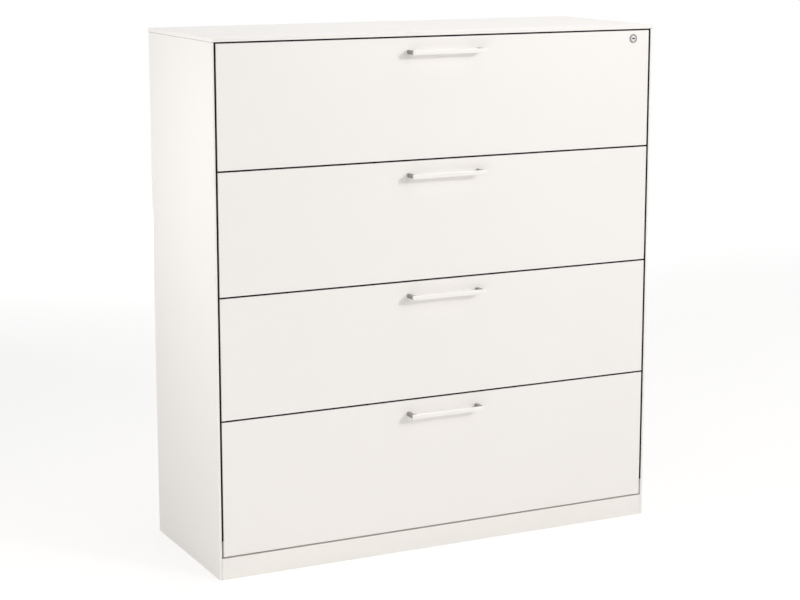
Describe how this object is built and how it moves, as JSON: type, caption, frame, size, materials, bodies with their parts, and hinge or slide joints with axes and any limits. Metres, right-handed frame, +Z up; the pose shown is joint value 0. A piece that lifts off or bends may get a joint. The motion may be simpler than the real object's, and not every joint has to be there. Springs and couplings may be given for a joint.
{
  "type": "filing cabinet",
  "caption": "White steel lateral filing cabinet with full-width drawers on telescopic slides, bar handles and a central lock.",
  "frame": {"origin": "on the floor, under the middle of the whole cabinet with its handles", "axes": "+Z up, the drawers open towards -Y, +X to the right seen from the front"},
  "size_m": [1.2, 0.473, 1.296],
  "materials": {
    "shell_paint": "white powder coat, fine texture, semi-matt",
    "front_paint": "white powder coat, fine texture, semi-matt",
    "handle_paint": "white powder coat on aluminium, smooth satin",
    "handle_metal": "die-cast, satin grey metal",
    "interior_paint": "white powder coat inside the drawers",
    "zinc_steel": "bright zinc plated steel",
    "lock_chrome": "polished nickel-chrome plate"
  },
  "bodies": {
    "cabinet": {"side_panel_left": "shell_paint", "side_panel_right": "shell_paint", "back_panel": "shell_paint", "top_cover": "shell_paint", "top_rail": "interior_paint", "bottom_pan": "interior_paint", "plinth": "shell_paint", "uprights_left": "zinc_steel", "uprights_right": "zinc_steel", "levelling_feet": "zinc_steel", "lock_bar_guides": "zinc_steel", "slide_outer_1": "zinc_steel", "slide_outer_2": "zinc_steel", "slide_outer_3": "zinc_steel", "slide_outer_4": "zinc_steel"},
    "drawer_1": {"front_skin_1": "front_paint", "front_inner_1": "interior_paint", "handle_bar_1": "handle_paint", "handle_legs_1": "handle_metal", "drawer_tray_1": "interior_paint", "drawer_sides_1": "interior_paint", "file_rails_1": "interior_paint", "slide_inner_1": "zinc_steel", "lock_housing": "lock_chrome"},
    "slide_1": {"slide_middle_1": "zinc_steel"},
    "drawer_2": {"front_skin_2": "front_paint", "front_inner_2": "interior_paint", "handle_bar_2": "handle_paint", "handle_legs_2": "handle_metal", "drawer_tray_2": "interior_paint", "drawer_sides_2": "interior_paint", "file_rails_2": "interior_paint", "slide_inner_2": "zinc_steel"},
    "slide_2": {"slide_middle_2": "zinc_steel"},
    "drawer_3": {"front_skin_3": "front_paint", "front_inner_3": "interior_paint", "handle_bar_3": "handle_paint", "handle_legs_3": "handle_metal", "drawer_tray_3": "interior_paint", "drawer_sides_3": "interior_paint", "file_rails_3": "interior_paint", "slide_inner_3": "zinc_steel"},
    "slide_3": {"slide_middle_3": "zinc_steel"},
    "drawer_4": {"front_skin_4": "front_paint", "front_inner_4": "interior_paint", "handle_bar_4": "handle_paint", "handle_legs_4": "handle_metal", "drawer_tray_4": "interior_paint", "drawer_sides_4": "interior_paint", "file_rails_4": "interior_paint", "slide_inner_4": "zinc_steel"},
    "slide_4": {"slide_middle_4": "zinc_steel"},
    "lock_core": {"lock_core": "lock_chrome", "lock_cam": "zinc_steel"},
    "lock_bar": {"lock_bar": "zinc_steel"}
  },
  "joints": [
    {"name": "drawer_1_slide", "type": "slide", "parent": "cabinet", "child": "drawer_1", "axis": [0, -1, 0], "range_m": [0, 0.385]},
    {"name": "slide_1_travel", "type": "slide", "parent": "cabinet", "child": "slide_1", "axis": [0, -1, 0], "range_m": [0, 0.1925]},
    {"name": "drawer_2_slide", "type": "slide", "parent": "cabinet", "child": "drawer_2", "axis": [0, -1, 0], "range_m": [0, 0.385]},
    {"name": "slide_2_travel", "type": "slide", "parent": "cabinet", "child": "slide_2", "axis": [0, -1, 0], "range_m": [0, 0.1925]},
    {"name": "drawer_3_slide", "type": "slide", "parent": "cabinet", "child": "drawer_3", "axis": [0, -1, 0], "range_m": [0, 0.385]},
    {"name": "slide_3_travel", "type": "slide", "parent": "cabinet", "child": "slide_3", "axis": [0, -1, 0], "range_m": [0, 0.1925]},
    {"name": "drawer_4_slide", "type": "slide", "parent": "cabinet", "child": "drawer_4", "axis": [0, -1, 0], "range_m": [0, 0.385]},
    {"name": "slide_4_travel", "type": "slide", "parent": "cabinet", "child": "slide_4", "axis": [0, -1, 0], "range_m": [0, 0.1925]},
    {"name": "lock_turn", "type": "hinge", "parent": "drawer_1", "child": "lock_core", "pos_m": [0.542, -0.1985, 1.262], "axis": [0, -1, 0], "range_deg": [0, 90]},
    {"name": "lock_bar_lift", "type": "slide", "parent": "cabinet", "child": "lock_bar", "axis": [0, 0, 1], "range_m": [0, 0.012]}
  ],
  "couplings": [
    {"joint": "slide_1_travel", "follows": "drawer_1_slide", "ratio": 0.5},
    {"joint": "slide_2_travel", "follows": "drawer_2_slide", "ratio": 0.5},
    {"joint": "slide_3_travel", "follows": "drawer_3_slide", "ratio": 0.5},
    {"joint": "slide_4_travel", "follows": "drawer_4_slide", "ratio": 0.5},
    {"joint": "lock_turn", "follows": "lock_bar_lift", "rad_per_m": 130.9}
  ]
}
